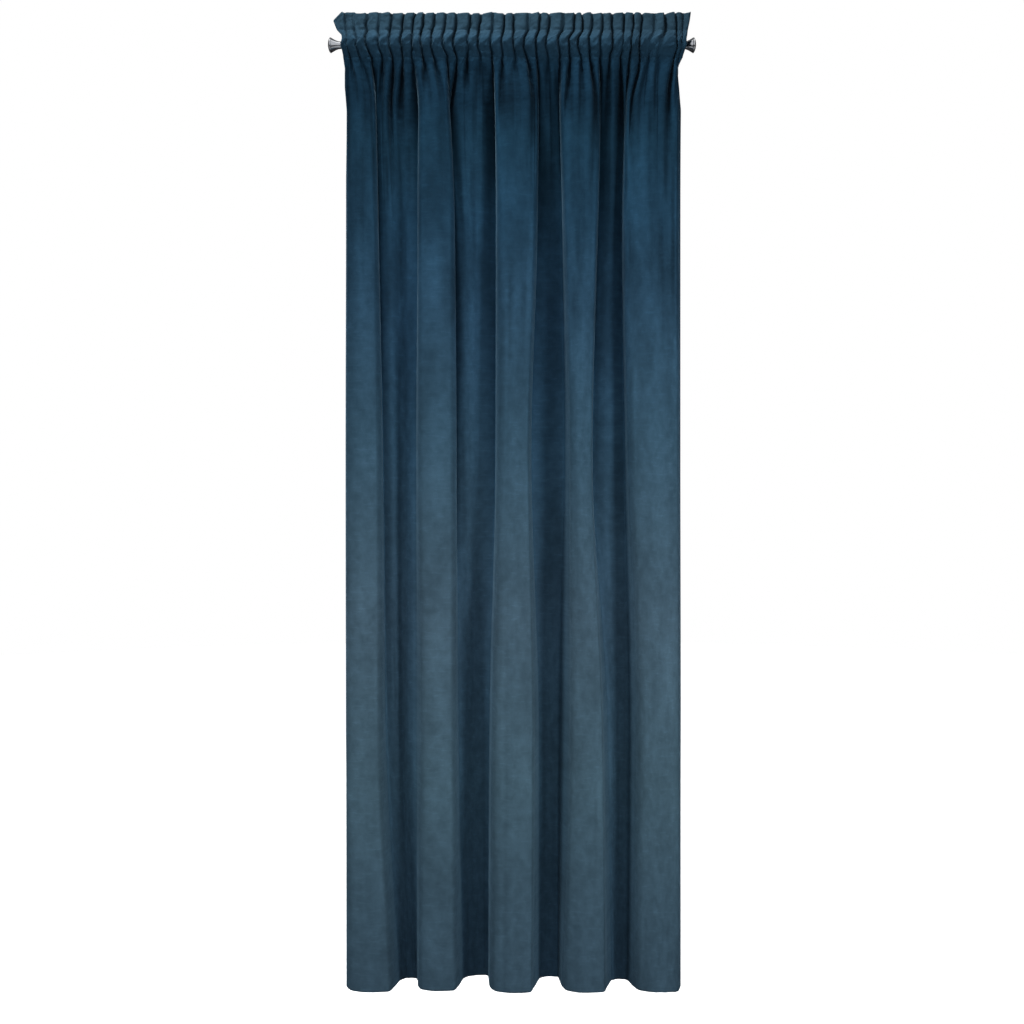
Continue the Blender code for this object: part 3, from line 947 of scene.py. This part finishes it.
def stitch(mesh, ends):
    """One rounded thread through its start, middle and end, in mm."""
    direction = ends[2] - ends[0]
    direction /= np.linalg.norm(direction)
    side = np.cross(direction, (0.0, 0.0, 1.0) if abs(direction[2]) < 0.7 else (1.0, 0.0, 0.0))
    side /= np.linalg.norm(side)
    up = np.cross(side, direction)
    rings = []
    for centre, size in zip(ends, STITCH_SIZES):
        ring = []
        for turn in range(STITCH_SIDES):
            angle = 2 * math.pi * turn / STITCH_SIDES
            offset = (side * math.cos(angle) + up * math.sin(angle)) * THREAD_THICKNESS / 2 * size
            ring.append(mesh.verts.new((centre + offset) * MM))
        rings.append(ring)
    bridged(mesh, rings)
    mesh.faces.new(list(reversed(rings[0])))
    mesh.faces.new(rings[-1])


def stitches(name, paths, length, pitch, look):
    """Short threads along paths of points, in mm, joined in one mesh."""
    mesh = bmesh.new()
    for path in paths:
        steps = np.linalg.norm(np.diff(path, axis=0), axis=1)
        along = np.concatenate([[0], np.cumsum(steps)])
        for start in np.arange(pitch / 2, along[-1] - pitch, pitch):
            ends = [
                np.array([np.interp(start + part * length, along, path[:, axis]) for axis in range(3)])
                for part in (0.0, 0.5, 1.0)
            ]
            stitch(mesh, ends)
    return linked(name, mesh, look)


def finial(name, side, look):
    """A finely turned trumpet finial in its solid's place."""
    outline = [(0, FINIAL_LENGTH)]
    outline += [(radius, along) for along, radius in reversed(FINIAL_PROFILE)]
    outline += [(0, 0)]
    mesh = bmesh.new()
    corners = [mesh.verts.new((radius * MM, 0, along * MM)) for radius, along in outline]
    edges = [mesh.edges.new(pair) for pair in zip(corners, corners[1:])]
    bmesh.ops.spin(
        mesh,
        geom=corners + edges,
        axis=(0, 0, 1),
        cent=(0, 0, 0),
        angle=2 * math.pi,
        steps=FINIAL_SIDES,
        use_merge=True,
    )
    bmesh.ops.remove_doubles(mesh, verts=mesh.verts, dist=0.00002)
    obj = linked(name, mesh, look)
    obj.rotation_euler = (0, side * math.pi / 2, 0)
    obj.location.x = side * (ROD_LENGTH / 2 + FINIAL_GAP) * MM
    return obj


def floor(look):
    """A pale round floor just under the hem, which throws no light on the cloth."""
    mesh = bmesh.new()
    bmesh.ops.create_circle(mesh, cap_ends=True, segments=96, radius=9)
    data = bpy.data.meshes.new("floor")
    mesh.to_mesh(data)
    mesh.free()
    data.materials.append(look)
    obj = bpy.data.objects.new("floor", data)
    bpy.context.scene.collection.objects.link(obj)
    obj.location.z = FLOOR
    obj.visible_diffuse = False
    obj.visible_glossy = False


def floor_look():
    """Pale matt paper, bright enough to read as a white studio ground."""
    n = Nodes("floor")
    place = n.add("TexCoord").outputs["Object"]
    tone = n.mixed(n.noise(place, 3.0), (0.86, 0.86, 0.86), (0.9, 0.9, 0.9))
    n.set(Base_Color=tone, Roughness=0.95, Emission_Color=(1.0, 1.0, 1.0), Emission_Strength=0.9)
    return n.material


def studio():
    """World, lights and the photo's camera."""
    scene = bpy.context.scene
    studio_world(scene)
    for row in LIGHTS:
        area_light(*row)
    data = bpy.data.cameras.new("camera")
    data.sensor_width = SENSOR_WIDTH
    data.lens = FOCAL_PIXELS / PHOTO_PIXELS * SENSOR_WIDTH
    camera = bpy.data.objects.new("camera", data)
    scene.collection.objects.link(camera)
    camera.location = CAMERA_PLACE
    camera.rotation_euler = (math.pi / 2, 0, 0)
    scene.camera = camera
    scene.view_settings.view_transform = "Standard"


def studio_world(scene):
    """White where it is seen directly, and a dim room with a pale ceiling for the rest."""
    world = bpy.data.worlds.new("studio")
    scene.world = world
    world.use_nodes = True
    tree = world.node_tree
    link = tree.links.new
    seen = tree.nodes["Background"]
    seen.inputs["Color"].default_value = (1, 1, 1, 1)
    room = tree.nodes.new("ShaderNodeBackground")
    place = tree.nodes.new("ShaderNodeTexCoord")
    parts = tree.nodes.new("ShaderNodeSeparateXYZ")
    link(place.outputs["Generated"], parts.inputs[0])
    height = ranged_by(tree, parts.outputs["Z"], (-1.0, 1.0, 0.0, 1.0))
    bright = tree.nodes.new("ShaderNodeValToRGB")
    stops = bright.color_ramp.elements
    ends = ((stops[0], ROOM[0]), (stops[1], ROOM[-1]))
    between = [(stops.new((row[0] + 1) / 2), row) for row in ROOM[1:-1]]
    for stop, (level, grey) in (*ends, *between):
        stop.position = (level + 1) / 2
        stop.color = (*(part * grey for part in ROOM_COLOUR), 1)
    link(height, bright.inputs["Fac"])
    link(bright.outputs["Color"], room.inputs["Color"])
    path = tree.nodes.new("ShaderNodeLightPath")
    strength = tree.nodes.new("ShaderNodeMath")
    strength.operation = "MULTIPLY"
    link(ranged_by(tree, parts.outputs["Y"], ROOM_BEHIND), strength.inputs[0])
    mirrored = ranged_by(tree, path.outputs["Is Glossy Ray"], (0.0, 1.0, 1.0, MIRRORED_ROOM))
    link(mirrored, strength.inputs[1])
    link(strength.outputs["Value"], room.inputs["Strength"])
    mix = tree.nodes.new("ShaderNodeMixShader")
    link(path.outputs["Is Camera Ray"], mix.inputs["Fac"])
    link(room.outputs[0], mix.inputs[1])
    link(seen.outputs[0], mix.inputs[2])
    link(mix.outputs[0], tree.nodes["World Output"].inputs["Surface"])


def ranged_by(tree, value, span):
    """Map a value in a node tree: from the first two of the span's numbers to the last two."""
    node = tree.nodes.new("ShaderNodeMapRange")
    tree.links.new(value, node.inputs["Value"])
    for name, number in zip(("From Min", "From Max", "To Min", "To Max"), span):
        node.inputs[name].default_value = number
    return node.outputs["Result"]


def area_light(name, place, aim, size, watts, spread):
    """A soft light that looks at a point, itself out of sight and out of the mirroring metal."""
    data = bpy.data.lights.new(name, "AREA")
    data.energy = watts
    data.shape = "RECTANGLE"
    data.size, data.size_y = size
    data.spread = math.radians(spread)
    light = bpy.data.objects.new(name, data)
    bpy.context.scene.collection.objects.link(light)
    light.location = place
    light.rotation_euler = (Vector(aim) - Vector(place)).to_track_quat("-Z", "Y").to_euler()
    light.visible_camera = False
    light.visible_glossy = False


def sewing(look):
    """Seam lines on the tape, and the hems' lines on the back."""
    across = pleat_places()
    inner = across[(across > TAPE_INSET + 0.1) & (across < PLEATS - TAPE_INSET - 0.1)]
    on_tape = TAPE_THICKNESS / 2 + 0.15
    paths = []
    for height in (-SEAM + 1.0, SEAM - 1.0):
        points = tape_surface(inner, height + AROUND / 2)
        paths.append((points + square_to(points) * on_tape)[1])
    tape = stitches("tape_stitches", paths, *TAPE_STITCH, look)
    on_hem = CLOTH_THICKNESS / 2 + HEM_THICKNESS + 0.1
    points = panel_points(across[5:-5], DROP - BOTTOM_HEM + 6.0 + AROUND)
    paths = [(points + square_to(points) * on_hem)[1]]
    rows = np.arange(SEAM + 20, DROP - 3, 6.0)
    inside = (SIDE_HEM - 7) / PLEAT_CLOTH
    for place in (inside, PLEATS - inside):
        points = panel_points(place + AROUND / 50, rows)
        paths.append((points + square_to(points) * on_hem)[:, 1])
    hems = stitches("hem_stitches", paths, *HEM_STITCH, look)
    return tape, hems


def main():
    """Make the materials, the pieces and the studio."""
    velvet_look = velvet()
    reverse = woven("cloth_back", (0.06, 0.115, 0.16), (0.02, 0.045, 0.07), thread=0.0011, sheen=0.15)
    tape_look = woven("tape_weave", (0.16, 0.22, 0.27), (0.05, 0.085, 0.115), thread=0.0014, sheen=0.1)
    chrome = metal("chrome", (0.74, 0.75, 0.77), rough_low=0.1, rough_high=0.17)
    steel = metal("rod_steel", (0.6, 0.61, 0.63), rough_low=0.16, rough_high=0.28)
    thread = thread_look()

    cloth = curtain_cloth([velvet_look, reverse])
    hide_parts("curtain_panel")
    tape = tape_cloth([tape_look])
    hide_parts("heading_tape")
    tape_sewing, hem_sewing = sewing(thread)
    left = finial("finial_left_turned", -1, chrome)
    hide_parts("finial_left")
    right = finial("finial_right_turned", 1, chrome)
    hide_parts("finial_right")
    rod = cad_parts["rod"]
    rod.data.materials.clear()
    rod.data.materials.append(steel)

    for piece, slot in (
        (cloth, "velvet"),
        (tape, "tape_cloth"),
        (tape_sewing, "tape_cloth"),
        (hem_sewing, "velvet"),
        (left, "chrome"),
        (right, "chrome"),
    ):
        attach(piece, "root")
    floor(floor_look())
    studio()


main()
